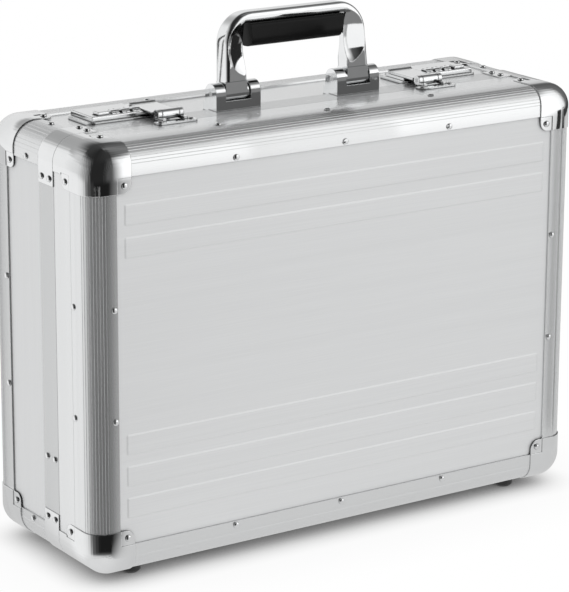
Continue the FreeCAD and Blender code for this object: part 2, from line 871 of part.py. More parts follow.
group("hinge_pins", pin("hinge_pin", S.hinge_pin, S.hinge_width), hinge_spots)

# Lid stays: a slotted bar turns on a pivot on the lid and slides on a stud on the base. Both are the same
# distance from the hinge, so the bar turns through exactly half the lid's angle. That distance is the longest
# one that keeps the bar's tail in the base when the lid is shut.
stay_room = S.case_depth - lining_top - S.lid_depth - S.stay_end_gap - S.stay_half_width
stay_opened = sine(S.stay_half_angle + S.stay_open_angle / 2) * 2
stay_reach = stay_room / (stay_opened - sine(S.stay_half_angle))
stay_half_chord = stay_reach * sine(S.stay_half_angle)
stay_height = hinge_axis + stay_reach * cosine(S.stay_half_angle)
stay_longest = stay_reach * stay_opened
slot_half = S.stay_stud + S.stay_play
lining_face = half_width - lining_top


def stay(label, side):
    body = new_body(label)
    wide = S.stay_half_width
    shortest = stay_half_chord * 2
    bar = [
        (0, -wide, wide, 1),
        (stay_longest, -wide),
        (stay_longest + wide, 0, wide, 1),
        (stay_longest, wide, wide, 1),
        (0, wide),
        (-wide, 0, wide, 1),
    ]
    slot = [
        (shortest, -slot_half, slot_half, 1),
        (stay_longest, -slot_half),
        (stay_longest + slot_half, 0, slot_half, 1),
        (stay_longest, slot_half, slot_half, 1),
        (shortest, slot_half),
        (shortest - slot_half, 0, slot_half, 1),
    ]
    hole = (0, 0, S.stay_pivot + S.running_fit)
    pad(body, new_sketch(body, "YZ_Plane", bar, slot, circles=[hole]), S.stay_bar, both=True)
    x_spot = (lining_face - S.stay_stand_off - S.stay_bar / 2) * side
    place(body, (x_spot, seam - stay_half_chord, stay_height))


def stud(label, radius):
    body = new_body(label, keep=False)
    neck = S.stay_stand_off + S.stay_bar + S.stay_play
    outline = [
        (0, 0),
        (radius, 0),
        (radius, neck),
        (S.stay_head_radius, neck),
        (S.stay_head_radius, neck + S.stay_head),
        (0, neck + S.stay_head),
    ]
    revolve(body, new_sketch(body, "XZ_Plane", outline))
    return body


for name, side in SIDES.items():
    stay(f"stay_{name}", side)
for label, radius, depth in (("lid_stay_pivots", S.stay_pivot, seam - stay_half_chord),
                             ("base_stay_studs", S.stay_stud, seam + stay_half_chord)):
    places = []
    for side in SIDES.values():
        places.append(stood_at((lining_face * side, depth, stay_height), FreeCAD.Rotation(Z, -X * side)))
    group(label, stud(f"{label}_stud", radius), places)

# Handle: a cast frame that turns in two brackets, with scooped arms on slimmer necks and a grip under its
# spine. Its arms spread a little towards the brackets, and it leans to the rear at rest.
pivot = top + S.pivot_height
handle_line = seam + S.handle_back
lean = FreeCAD.Rotation(X, -S.handle_lean_angle.value)
half_gap = S.handle_half_width - S.handle_arm
arm_middle = S.handle_half_width - S.handle_arm / 2
handle = new_body("handle_frame")
place(handle, (0, handle_line, pivot), lean)
under = S.handle_top - S.handle_spine
turn_out = S.handle_corner
turn_in = S.handle_inner_corner
flare_sine = sine(S.handle_flare_angle)
flare_cosine = cosine(S.handle_flare_angle)
shoulder_x = S.handle_half_width - turn_out + turn_out * flare_cosine
shoulder_z = S.handle_top - turn_out + turn_out * flare_sine
arm_foot = shoulder_x + (shoulder_z - S.handle_neck) * flare_sine / flare_cosine
arch = [
    (-arm_foot, S.handle_neck),
    (-half_gap, S.handle_neck),
    (-half_gap, under - turn_in),
    (-half_gap + turn_in, under, turn_in, -1),
    (half_gap - turn_in, under),
    (half_gap, under - turn_in, turn_in, -1),
    (half_gap, S.handle_neck),
    (arm_foot, S.handle_neck),
    (shoulder_x, shoulder_z),
    (S.handle_half_width - turn_out, S.handle_top, turn_out, 1),
    (-S.handle_half_width + turn_out, S.handle_top),
    (-shoulder_x, shoulder_z, turn_out, 1),
]
arch_pad = pad(handle, new_sketch(handle, "XZ_Plane", arch), S.handle_depth, both=True)


def face_edge(point, edge):
    return near(abs(point.y), S.handle_depth.value / 2) and not near(point.z, S.handle_neck.value)


round_edges(handle, arch_pad, S.handle_edge_round, face_edge)
scoop_centre = (S.scoop_spread * S.scoop_spread - S.scoop_depth * S.scoop_depth) / (S.scoop_depth * 2)
for side in (LEFT, RIGHT):
    for face in (-1, 1):
        scoop = handle.newObject("PartDesign::SubtractiveSphere", "Scoop")
        bind(scoop, "Radius", scoop_centre + S.scoop_depth)
        bind(scoop, "Placement.Base.x", (half_gap - S.scoop_inset) * side)
        bind(scoop, "Placement.Base.y", (S.handle_depth / 2 + scoop_centre) * face)
        bind(scoop, "Placement.Base.z", S.scoop_rise)
for side in (LEFT, RIGHT):
    start = arm_middle * side - S.handle_barrel_width / 2
    neck_low, neck_high = (half_gap, arm_foot) if side == RIGHT else (-arm_foot, -half_gap)
    neck = rectangle(neck_low, 0, neck_high, S.handle_neck)
    pad(handle, new_sketch(handle, "XZ_Plane", neck), S.handle_neck_depth, both=True)
    barrel = new_sketch(handle, "YZ_Plane", lift=start, circles=[(0, 0, S.handle_barrel)])
    pad(handle, barrel, S.handle_barrel_width)
pin_bore = new_sketch(handle, "YZ_Plane", circles=[(0, 0, S.handle_pin + S.running_fit)])
pocket(handle, pin_bore, (S.handle_half_width + S.overrun) * 2, both=True)

grip = new_body("handle_grip")
place(grip, (0, handle_line, pivot), lean)
low = under - S.grip_height
deep = S.grip_depth / 2
grip_outline = [
    (-deep, low + S.grip_round),
    (-deep + S.grip_round, low, S.grip_round, 1),
    (deep - S.grip_round, low),
    (deep, low + S.grip_round, S.grip_round, 1),
    (deep, under - S.grip_top_round),
    (deep - S.grip_top_round, under, S.grip_top_round, 1),
    (-deep + S.grip_top_round, under),
    (-deep, under - S.grip_top_round, S.grip_top_round, 1),
]
grip_sketch = new_sketch(grip, "YZ_Plane", grip_outline)
pad(grip, grip_sketch, (half_gap - S.grip_end_gap) * 2, both=True)


bracket_width = S.bracket_gap + S.lug_width * 2


def bracket(label, side):
    body = new_body(label)
    place(body, (arm_middle * side, handle_line, top))
    lug = S.lug_radius
    outline = [
        (-lug, 0),
        (lug, 0),
        (lug, S.pivot_height),
        (0, S.pivot_height + lug, lug, 1),
        (-lug, S.pivot_height, lug, 1),
    ]
    pad(body, new_sketch(body, "YZ_Plane", outline), bracket_width, both=True)
    heel = lug + S.bracket_heel
    block = rectangle(-lug, 0, heel, S.bracket_block)
    pad(body, new_sketch(body, "YZ_Plane", block), bracket_width, both=True)
    foot_front = rim_back + S.board_play - handle_line
    pad(body, new_sketch(body, "YZ_Plane", rectangle(foot_front, -S.skin, heel, 0)), bracket_width, both=True)
    gap = S.bracket_gap / 2
    tall = S.pivot_height + lug + S.overrun
    upper = rectangle(-gap, S.bracket_bar, gap, tall)
    pocket(body, new_sketch(body, "XZ_Plane", upper), (lug + S.overrun) * 2, both=True)
    lower = rectangle(-gap, S.bracket_floor, gap, tall)
    bar_back = lug - S.bracket_bar_wall
    pocket(body, new_sketch(body, "XZ_Plane", lower, lift=bar_back), bar_back + heel + S.overrun)
    bore = (0, S.pivot_height, S.handle_pin)
    pocket(body, new_sketch(body, "YZ_Plane", circles=[bore]), bracket_width + S.overrun, both=True)


for name, side in SIDES.items():
    bracket(f"handle_bracket_{name}", side)
handle_pin = pin("handle_pin", S.handle_pin, bracket_width)
group("handle_pins", handle_pin,
      [stood_at((arm_middle * side, handle_line, pivot)) for side in SIDES.values()])


# Combination locks on the base, between the handle's brackets and the corner profiles. In each lock's own
# frame x runs along the width from the plate's middle, and "out" is away from the handle.
bracket_end = arm_middle + bracket_width / 2
lock_room = half_width - S.corner_flange - bracket_end - S.lock_plate_width
lock_span = bracket_end + lock_room * S.lock_gap_share + S.lock_plate_width / 2
lock_line = seam + S.lock_back
dial_steps = (-1, 0, 1)
dial_slot_reach = S.dial_radius + S.dial_slot_play
axle_half = S.dial_pitch + S.dial_width / 2 + S.axle_end


def span(side, inner, outer):
    """Two x limits of a piece of a lock, lowest first, from distances outwards."""
    return (inner, outer) if side == RIGHT else (-outer, -inner)


def dial_window(side):
    """One opening for the row of dials, through the plate and the housing."""
    reach = S.dial_pitch + S.dial_width / 2 + S.dial_slot_play
    low_x, high_x = span(side, S.dial_middle - reach, S.dial_middle + reach)
    return rectangle(low_x, -S.dial_row - dial_slot_reach, high_x, -S.dial_row + dial_slot_reach)


def lock_plate(name, side):
    """A plate with a step underneath, which fills the deck between the rail and the rear extrusion."""
    body = new_body(f"lock_plate_{name}")
    place(body, (lock_span * side, lock_line, top))
    x_reach = S.lock_plate_width / 2
    y_reach = S.lock_plate_depth / 2
    step_front = -least(y_reach, lock_line - rim_back - S.board_play)
    step_rear = least(y_reach, -front - S.side_flange - S.board_play - lock_line)
    corner = S.lock_plate_corner
    plate = rounded(-x_reach, -y_reach, x_reach, y_reach, corner)
    pad(body, new_sketch(body, "XY_Plane", plate), S.lock_plate)
    step = rounded(-x_reach, step_front, x_reach, step_rear, corner)
    pad(body, new_sketch(body, "XY_Plane", step), S.skin, reverse=True)
    window = new_sketch(body, "XY_Plane", dial_window(side), lift=S.lock_plate)
    pocket(body, window, S.lock_plate + S.skin + S.overrun)


def lock_cover(name, side):
    body = new_body(f"lock_cover_{name}")
    place(body, (lock_span * side, lock_line, top + S.lock_plate))
    low_x, high_x = span(side, -S.cover_inner, S.cover_outer)
    shell = rectangle(low_x, -S.cover_front, high_x, S.cover_rear)
    housing = pad(body, new_sketch(body, "XY_Plane", shell), S.cover_height)

    def upper_edge(point, edge):
        return near(point.z, S.cover_height.value)

    round_edges(body, housing, S.cover_round, upper_edge)
    seat_low, seat_high = span(side, -S.seat_end, -S.cover_inner)
    seat = rectangle(seat_low, -S.cover_front, seat_high, S.seat_depth - S.cover_front)
    pad(body, new_sketch(body, "XY_Plane", seat), S.seat_height)
    full = S.cover_height + S.overrun
    pocket(body, new_sketch(body, "XY_Plane", dial_window(side), lift=S.cover_height), full)
    stem_start = S.button_start + (S.button_length - S.stem_length) / 2
    stem_end = stem_start + S.stem_length + S.button_travel
    slot_low, slot_high = span(side, stem_start - S.slot_play, stem_end + S.slot_play)
    wide = S.stem_width / 2 + S.slot_play
    stem_slot = rectangle(slot_low, -S.button_row - wide, slot_high, -S.button_row + wide)
    pocket(body, new_sketch(body, "XY_Plane", stem_slot, lift=S.cover_height), S.stem_depth + S.slot_play)
    tongue_x = -S.hasp_offset * side
    tongue_half = S.hasp_tongue_width / 2 + S.tongue_slot_play
    tongue_rear = S.hasp_axis_back - S.lock_back + S.hasp_tongue_start + S.hasp_tongue_length
    tongue_slot = rectangle(tongue_x - tongue_half, -S.cover_front - S.overrun,
                            tongue_x + tongue_half, tongue_rear + S.tongue_slot_end)
    pocket(body, new_sketch(body, "XY_Plane", tongue_slot, lift=S.seat_height), S.seat_height - S.seat_floor)
    bore = (-S.dial_row, S.dial_axis_height - S.lock_plate, S.axle_radius)
    bore_sketch = new_sketch(body, "YZ_Plane", circles=[bore], lift=(S.dial_middle - axle_half) * side)
    pocket(body, bore_sketch, axle_half * 2, reverse=side == RIGHT)


axle_spots = []
for name, side in SIDES.items():
    lock_plate(name, side)
    lock_cover(name, side)
    axle_x = (lock_span + S.dial_middle) * side
    axle_spots.append(stood_at((axle_x, lock_line - S.dial_row, top + S.dial_axis_height)))
group("dial_axles", pin("dial_axle", S.axle_radius, axle_half * 2), axle_spots)


def dial(label, x_spot):
    body = new_body(label)
    place(body, (x_spot, lock_line - S.dial_row, top + S.dial_axis_height))
    rings = [(0, 0, S.dial_radius), (0, 0, S.axle_radius + S.running_fit)]
    pad(body, new_sketch(body, "YZ_Plane", circles=rings), S.dial_width, both=True)
    notch = [
        (S.dial_radius - S.dial_notch, 0),
        (S.dial_radius + S.dial_notch, S.dial_notch * 2),
        (S.dial_radius + S.dial_notch, -S.dial_notch * 2),
    ]
    cut = pocket(body, new_sketch(body, "YZ_Plane", notch), S.dial_width + S.overrun, both=True)
    knurl = body.newObject("PartDesign::PolarPattern", "Knurl")
    knurl.Originals = [cut]
    knurl.Axis = (cut.Profile[0], ["N_Axis"])
    knurl.Angle = 360
    knurl.Occurrences = DIAL_DIGITS
    body.Tip = knurl


def button(name, side):
    body = new_body(f"lock_button_{name}")
    face = top + S.lock_plate + S.cover_height
    place(body, (lock_span * side, lock_line - S.button_row, face))
    low_x, high_x = span(side, S.button_start, S.button_start + S.button_length)
    wide = S.button_width / 2
    cap_outline = rectangle(low_x, -wide, high_x, wide)
    cap = pad(body, new_sketch(body, "XY_Plane", cap_outline, lift=S.button_lift), S.button_height)

    def upper_edge(point, edge):
        return near(point.z, S.button_lift.value + S.button_height.value)

    round_edges(body, cap, S.button_round, upper_edge)
    stem_start = S.button_start + (S.button_length - S.stem_length) / 2
    low_x, high_x = span(side, stem_start, stem_start + S.stem_length)
    stem = rectangle(low_x, -S.stem_width / 2, high_x, S.stem_width / 2)
    pad(body, new_sketch(body, "XY_Plane", stem, lift=S.button_lift), S.stem_depth, reverse=True)


for name, side in SIDES.items():
    for number, step in enumerate(dial_steps, start=1):
        dial(f"dial_{name}_{number}", (lock_span + S.dial_middle) * side + S.dial_pitch * step)
    button(name, side)


# Hasps: each turns on a knuckled plate on the lid's rim and lies on the lock's seat, its tongue in the slot.
hasp_span = lock_span - S.hasp_offset
hasp_line = seam + S.hasp_axis_back
hasp_height = top + S.hasp_axis_height


def hasp(name, side):
    body = new_body(f"hasp_{name}")
    place(body, (hasp_span * side, hasp_line, hasp_height))
    low = S.hasp_arm_lift
    high = low + S.hasp_arm
    pad(body, new_sketch(body, "YZ_Plane", circles=[(0, 0, S.hasp_barrel)]), S.hasp_knuckle, both=True)
    bridge = rectangle(0, low, S.hasp_barrel + S.hasp_arm_start, high)
    pad(body, new_sketch(body, "YZ_Plane", bridge), S.hasp_knuckle, both=True)
    arm = [
        (S.hasp_arm_start, low),
        (S.hasp_length - S.hasp_lip, low),
        (S.hasp_length, low + S.hasp_lip, S.hasp_lip, 1),
        (S.hasp_length, high + S.hasp_lip_rise),
        (S.hasp_length - S.hasp_lip, high),
        (S.hasp_arm_start, high),
    ]
    pad(body, new_sketch(body, "YZ_Plane", arm), S.hasp_width, both=True)
    tongue_end = S.hasp_tongue_start + S.hasp_tongue_length
    tongue = rectangle(S.hasp_tongue_start, -S.hasp_tongue_drop, tongue_end, low)
    pad(body, new_sketch(body, "YZ_Plane", tongue), S.hasp_tongue_width, both=True)
    bore = (0, 0, S.hasp_pin + S.running_fit)
    pocket(body, new_sketch(body, "YZ_Plane", circles=[bore]), S.hasp_width, both=True)


def hasp_plate(name, side):
    body = new_body(f"hasp_plate_{name}")
    place(body, (hasp_span * side, hasp_line, hasp_height))
    half = S.hasp_plate_width / 2
    back = -seam_shy - S.hasp_axis_back
    plate = [
        (-half + S.hasp_plate_corner, back - S.hasp_plate_depth, S.hasp_plate_corner, 1),
        (half - S.hasp_plate_corner, back - S.hasp_plate_depth),
        (half, back - S.hasp_plate_depth + S.hasp_plate_corner, S.hasp_plate_corner, 1),
        (half, back),
        (-half, back),
        (-half, back - S.hasp_plate_depth + S.hasp_plate_corner),
    ]
    pad(body, new_sketch(body, "XY_Plane", plate, lift=-S.hasp_axis_height), S.hasp_plate)
    inner = S.hasp_knuckle / 2 + S.knuckle_gap
    outer = S.hasp_width / 2
    for start, end in ((inner, outer), (-outer, -inner)):
        pad(body, new_sketch(body, "YZ_Plane", lift=start, circles=[(0, 0, S.hasp_barrel)]), end - start)
        web = rectangle(back - S.hasp_web, -S.hasp_barrel, 0, -S.hasp_barrel + S.hasp_web)
        pad(body, new_sketch(body, "YZ_Plane", web, lift=start), end - start)
    bore = (0, 0, S.hasp_pin)
    pocket(body, new_sketch(body, "YZ_Plane", circles=[bore]), S.hasp_plate_width, both=True)


for name, side in SIDES.items():
    hasp(name, side)
    hasp_plate(name, side)
hasp_pin_spots = [stood_at((hasp_span * side, hasp_line, hasp_height)) for side in SIDES.values()]
group("hasp_pins", pin("hasp_pin", S.hasp_pin, S.hasp_width), hasp_pin_spots)

# Every object has to be sound, and every cut has to remove something, before anything is written.
doc.recompute()
for thing in doc.Objects:
    if "Invalid" in thing.State or "Error" in thing.State:
        raise RuntimeError(f"{thing.Name} ({thing.Label}) failed: {thing.State}")
    if thing.TypeId == "PartDesign::Pocket":
        if thing.Shape.Volume >= thing.BaseFeature.Shape.Volume:
            raise RuntimeError(f"{thing.Name} cuts nothing")
os.makedirs("parts", exist_ok=True)
for piece in pieces:
    if piece.Shape.isNull() or not piece.Shape.isValid():
        raise RuntimeError(f"{piece.Label} has no sound shape")
for piece in pieces:
    piece.Shape.exportStep(f"parts/{piece.Label}.step")
print(len(pieces), "nodes,", sum(len(piece.Shape.Solids) for piece in pieces), "solids")
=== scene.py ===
from math import cos, pi, radians, sin, tan
import bmesh
import bpy
from mathutils import Matrix, Vector


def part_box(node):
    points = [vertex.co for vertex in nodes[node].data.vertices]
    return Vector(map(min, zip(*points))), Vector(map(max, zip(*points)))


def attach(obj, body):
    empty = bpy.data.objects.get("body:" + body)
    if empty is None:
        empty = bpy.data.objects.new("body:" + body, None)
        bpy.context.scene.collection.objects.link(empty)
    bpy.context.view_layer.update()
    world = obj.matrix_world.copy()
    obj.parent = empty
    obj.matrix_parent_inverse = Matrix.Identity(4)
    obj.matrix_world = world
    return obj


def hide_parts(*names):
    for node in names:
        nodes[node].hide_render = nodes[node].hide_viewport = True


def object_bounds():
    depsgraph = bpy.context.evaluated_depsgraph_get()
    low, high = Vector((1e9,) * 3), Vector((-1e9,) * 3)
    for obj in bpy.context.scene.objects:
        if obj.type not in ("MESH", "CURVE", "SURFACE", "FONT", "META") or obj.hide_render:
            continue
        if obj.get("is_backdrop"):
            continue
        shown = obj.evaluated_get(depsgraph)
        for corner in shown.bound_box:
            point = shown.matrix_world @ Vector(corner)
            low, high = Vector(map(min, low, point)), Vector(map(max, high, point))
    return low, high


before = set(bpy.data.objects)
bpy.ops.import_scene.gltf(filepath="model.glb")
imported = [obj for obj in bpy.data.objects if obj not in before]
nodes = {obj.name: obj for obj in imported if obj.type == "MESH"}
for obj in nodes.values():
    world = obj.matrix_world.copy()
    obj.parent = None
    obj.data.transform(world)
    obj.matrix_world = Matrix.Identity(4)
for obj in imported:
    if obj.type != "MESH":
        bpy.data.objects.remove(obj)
solid_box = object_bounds()

# Face panels and wall boards
# Thin boards faced with aluminium sheet. The sheet is brushed along each board's length and lacquered satin,
# and the two large panels have shallow pressed bands. The boards above and below are polished brighter.
WIDTH, DEPTH, HEIGHT = range(3)
COOL = (0.985, 0.995, 1.0)
FINE_DEPTH = 0.0001
# Painted shade: the tone that base colours darken to in the narrow gaps between pieces.
GAP_SHADE_TONE = 0.04
GAP_SAMPLES = 16
SHEET_SHADE_REACH = 0.004
SHEET_SHADE_SPAN = (0.3, 0.8)
SHEET_TONES = (0.77, 0.89)
SHEET_MIX = (0.6, 0.4)
SHEET_UNEVEN = (0.10, 0.08)
SHEET_BUMP = 0.08
SHEET_HAIRS = (14.0, 1400.0)
BRIGHT_HAIRS = (6.0, 700.0)
SHEET_BANDS = (2.0, 90.0)
SATIN_METAL, SATIN_DULL = 0.28, 0.36
BRIGHT_METAL, BRIGHT_DULL = 0.80, 0.10


class Wire:
    """A socket in a finish's node tree. Arithmetic on values adds Math nodes."""

    def __init__(self, tree, socket=None):
        self.tree = tree
        self.socket = socket

    def node(self, kind, settings=None, inputs=None, out=0):
        """Adds a node: its settings first, then the values or links of its sockets."""
        made = self.tree.nodes.new(kind)
        for name, value in (settings or {}).items():
            if name == "stops":
                elements = made.color_ramp.elements
                while len(elements) < len(value):
                    elements.new(1.0)
                for element, (place, tone) in zip(elements, value):
                    element.position = place
                    element.color = (tone, tone, tone, 1.0)
            elif name == "spread":
                made.color_ramp.interpolation = value
            else:
                setattr(made, name, value)
        for name, value in (inputs or {}).items():
            if isinstance(value, Wire):
                self.tree.links.new(value.socket, made.inputs[name])
            else:
                made.inputs[name].default_value = value
        return Wire(self.tree, made.outputs[out] if len(made.outputs) else None)

    def also(self, out):
        """Another output of the same node."""
        return Wire(self.tree, self.socket.node.outputs[out])

    def sum(self, operation, first, second=0.0):
        return self.node("ShaderNodeMath", {"operation": operation}, {0: first, 1: second})

    def __add__(self, other):
        return self.sum("ADD", self, other)

    def __sub__(self, other):
        return self.sum("SUBTRACT", self, other)

    def __rsub__(self, other):
        return self.sum("SUBTRACT", other, self)

    def __mul__(self, other):
        return self.sum("MULTIPLY", self, other)

    __radd__ = __add__
    __rmul__ = __mul__

    def blend(self, first, second):
        """A colour between two colours, by this value."""
        return self.node("ShaderNodeMix", {"data_type": "RGBA"}, {0: self, 6: first, 7: second}, out=2)

    def shade(self, tones, tint=(1.0, 1.0, 1.0)):
        """A colour between two tones of grey, by this value."""
        return self.blend(grey(tones[0], tint), grey(tones[1], tint))


def grey(tone, tint=(1.0, 1.0, 1.0)):
    return tuple(tone * part for part in tint) + (1.0,)


def new_finish(name):
    material = bpy.data.materials.new(name)
    material.use_nodes = True
    material.node_tree.nodes.clear()
    return material, Wire(material.node_tree)


def set_surface(finish, **sockets):
    """Closes a finish with its shader. An underscore in a socket's name stands for a space."""
    inputs = {name.replace("_", " "): value for name, value in sockets.items()}
    shader = finish.node("ShaderNodeBsdfPrincipled", None, inputs)
    finish.node("ShaderNodeOutputMaterial", None, {"Surface": shader})


def waves(along, lengthwise, across):
    """Waves per metre on the three axes: few along a piece's length and many across it."""
    scale = Vector((across, across, across))
    scale[along] = lengthwise
    return scale


def even(count):
    """Waves per metre, alike on the three axes."""
    return Vector((count, count, count))


def stretched_noise(finish, scale, detail=2.0):
    """Noise in object space with its own count of waves per metre along each axis."""
    place = finish.node("ShaderNodeTexCoord", out="Object")
    turned = finish.node("ShaderNodeMapping", {"vector_type": "POINT"}, {"Vector": place, "Scale": scale})
    return finish.node("ShaderNodeTexNoise", None, {"Vector": turned, "Scale": 1.0, "Detail": detail})


def weighed(first, second, weights):
    """The sum of two patterns, each by its weight."""
    return first * weights[0] + second * weights[1]


def raised(finish, relief, strength, depth=FINE_DEPTH, normal=None):
    """A normal that follows a relief, on the plain surface or on another normal."""
    inputs = {"Strength": strength, "Distance": depth, "Height": relief}
    if normal:
        inputs["Normal"] = normal
    return finish.node("ShaderNodeBump", None, inputs)


def smooth_step(wire, low, high):
    return wire.node("ShaderNodeMapRange", {"interpolation_type": "SMOOTHSTEP"},
                     {"Value": wire, "From Min": low, "From Max": high})


def open_air(finish, reach, samples):
    """How freely a spot is open to the air round it, within a reach."""
    return finish.node("ShaderNodeAmbientOcclusion", {"samples": samples}, {"Distance": reach}, out="AO")


def crevices(finish, reach, colour, span):
    """A colour darkened in the narrow gaps between pieces: painted shade, where little light gets in."""
    return smooth_step(open_air(finish, reach, GAP_SAMPLES), *span).blend(grey(GAP_SHADE_TONE), colour)


def dress(material, *names):
    """Gives these solids a finish."""
    for name in names:
        mesh = nodes[name].data
        mesh.materials.clear()
        mesh.materials.append(material)


def brushed_sheet(name, along, hairs, metal, dull):
    material, finish = new_finish(name)
    hair = stretched_noise(finish, waves(along, *hairs))
    band = stretched_noise(finish, waves(along, *SHEET_BANDS), detail=1.0)
    colour = weighed(hair, band, SHEET_MIX).shade(SHEET_TONES, COOL)
    # Painted shade: the base colour darkens in the gaps and round the pieces that stand on the sheet.
    set_surface(finish, Base_Color=crevices(finish, SHEET_SHADE_REACH, colour, SHEET_SHADE_SPAN), Metallic=metal,
                Roughness=weighed(hair, band, SHEET_UNEVEN) + dull, Normal=raised(finish, hair, SHEET_BUMP))
    return material


sheet_across = brushed_sheet("brushed sheet across", WIDTH, SHEET_HAIRS, SATIN_METAL, SATIN_DULL)
sheet_upright = brushed_sheet("brushed sheet upright", HEIGHT, SHEET_HAIRS, SATIN_METAL, SATIN_DULL)
sheet_bright = brushed_sheet("bright sheet", WIDTH, BRIGHT_HAIRS, BRIGHT_METAL, BRIGHT_DULL)
dress(sheet_across, "lid_panel", "base_panel")
dress(sheet_upright, "base_wall_left", "base_wall_right")
dress(sheet_bright, "base_wall_top", "base_wall_bottom")

# Edge extrusions, corner profiles and rim rails
# Aluminium drawn through a ribbed die, then bright anodised. The die leaves fine lines along each length,
# and its outline swells gently towards the case's edges. The pieces are cut square and held by the rivets.
SEAM_SHADE_REACH = 0.0012
SEAM_SHADE_SPAN = (0.15, 0.65)
SWELL_REACH = 0.036
SWELL_SLOPE = 0.42
DRAWN_LINES = (2.0, 800.0)
DRAWN_BANDS = (0.8, 160.0)
DRAWN_MIX = (0.5, 0.5)
DRAWN_CONTRAST = 0.05
DRAWN_UNEVEN = (0.06, 0.08)
DRAWN_METAL = 0.80
DRAWN_DULL = 0.18
DRAWN_BUMP = 0.04
EDGE_TONE = 0.86
PROFILE_TONE = 0.84
RAIL_TONE = 0.68
edge_boxes = [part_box(f"{half}_edge_{side}")
              for half in ("lid", "base") for side in ("top", "bottom", "left", "right")]
case_low = Vector(min(box[0][axis] for box in edge_boxes) for axis in range(3))
case_high = Vector(max(box[1][axis] for box in edge_boxes) for axis in range(3))


def swollen(finish, normal=None):
    """A surface that bends gently away as it nears the edges of the case's box."""
    place = finish.node("ShaderNodeTexCoord", out="Object")
    across = finish.node("ShaderNodeSeparateXYZ", None, {0: place}, out="X")
    swell = 0.0
    for axis, line in enumerate((across, across.also("Y"), across.also("Z"))):
        offset = finish.sum("ABSOLUTE", line - (case_low[axis] + case_high[axis]) / 2)
        near = finish.sum("MAXIMUM", offset - ((case_high[axis] - case_low[axis]) / 2 - SWELL_REACH), 0.0)
        swell = near * near + swell
    return raised(finish, swell * (-SWELL_SLOPE / (2 * SWELL_REACH)), 1.0, 1.0, normal)


def drawn_aluminium(name, along, tone):
    material, finish = new_finish(name)
    lines = stretched_noise(finish, waves(along, *DRAWN_LINES))
    draws = stretched_noise(finish, waves(along, *DRAWN_BANDS), detail=1.0)
    tones = (tone - DRAWN_CONTRAST, tone + DRAWN_CONTRAST)
    colour = weighed(lines, draws, DRAWN_MIX).shade(tones, COOL)
    # Painted shade: the base colour darkens in the seams and grooves.
    set_surface(finish, Base_Color=crevices(finish, SEAM_SHADE_REACH, colour, SEAM_SHADE_SPAN), Metallic=DRAWN_METAL,
                Roughness=weighed(lines, draws, DRAWN_UNEVEN) + DRAWN_DULL,
                Normal=raised(finish, lines, DRAWN_BUMP, normal=swollen(finish)))
    return material


drawn_across = drawn_aluminium("drawn aluminium across", WIDTH, EDGE_TONE)
drawn_deep = drawn_aluminium("drawn aluminium front to back", DEPTH, PROFILE_TONE)
drawn_upright = drawn_aluminium("drawn aluminium upright", HEIGHT, EDGE_TONE)
for half in ("lid", "base"):
    dress(drawn_across, f"{half}_edge_top", f"{half}_edge_bottom")
    dress(drawn_upright, f"{half}_edge_left", f"{half}_edge_right")
dress(drawn_deep, "base_corner_profiles")
dress(drawn_upright, "lid_rim")
dress(drawn_aluminium("drawn aluminium rail", HEIGHT, RAIL_TONE), "base_rim")

# Chrome corner caps and rail corners
# Steel pressings, polished and chrome plated, pushed over the corners and riveted down. Handling leaves
# faint smudges and hairline scratches, and the plating rounds every edge a little.
CHROME_EDGE = 0.0008
CHROME_EDGE_SAMPLES = 4
CHROME_SHADE_SPAN = (0.3, 0.9)
CHROME_TONES = (0.86, 0.94)
CHROME_SMUDGES = 70.0
CHROME_HAIRS = (2600.0, 160.0, 900.0)
CHROME_BUMP = 0.03
CAP_GLOSS, CAP_SMUDGE = 0.03, 0.04


def polished_chrome(name, gloss, smudge, edge=CHROME_EDGE, reach=SEAM_SHADE_REACH, swell=False):
    material, finish = new_finish(name)
    cloud = stretched_noise(finish, even(CHROME_SMUDGES), detail=3.0)
    hair = stretched_noise(finish, CHROME_HAIRS, detail=1.0)
    soft_edge = finish.node("ShaderNodeBevel", {"samples": CHROME_EDGE_SAMPLES}, {"Radius": edge})
    form = swollen(finish, soft_edge) if swell else soft_edge
    # Painted shade: the base colour darkens in the gaps round caps, rivets, locks and dials.
    colour = crevices(finish, reach, cloud.shade(CHROME_TONES, COOL), CHROME_SHADE_SPAN)
    set_surface(finish, Base_Color=colour, Metallic=1.0, Roughness=cloud * smudge + gloss,
                Normal=raised(finish, hair, CHROME_BUMP, normal=form))
    return material


chrome = polished_chrome("polished chrome", CAP_GLOSS, CAP_SMUDGE, swell=True)
dress(chrome, "lid_corner_caps", "base_corner_caps", "base_rail_corners")

# Rivets
# Dome-headed aluminium rivets, set by machine through the extrusions and the caps. Each head is a low dome
# with a crisp foot.
DOME_FULLNESS = 0.72
RIVET_STEPS = 16
RIVET_RINGS = 5
RIVET_FOOT = 0.0003
RIVET_EDGE = 0.0001
RIVET_GLOSS, RIVET_SMUDGE = 0.05, 0.05
MERGE = 1e-6
FINE_MERGE = 1e-7


def islands(node):
    """The separate solids of a node, each as the corners of its box."""
    mesh = bmesh.new()
    mesh.from_mesh(nodes[node].data)
    bmesh.ops.remove_doubles(mesh, verts=mesh.verts, dist=MERGE)
    left = set(mesh.verts)
    found = []
    while left:
        reach = [left.pop()]
        seen = list(reach)
        while reach:
            for edge in reach.pop().link_edges:
                for vertex in edge.verts:
                    if vertex in left:
                        left.remove(vertex)
                        reach.append(vertex)
                        seen.append(vertex)
        low = Vector(min(vertex.co[axis] for vertex in seen) for axis in range(3))
        high = Vector(max(vertex.co[axis] for vertex in seen) for axis in range(3))
        found.append((low, high))
    mesh.free()
    return sorted(found, key=lambda box: tuple(round(part, 5) for part in box[0]))


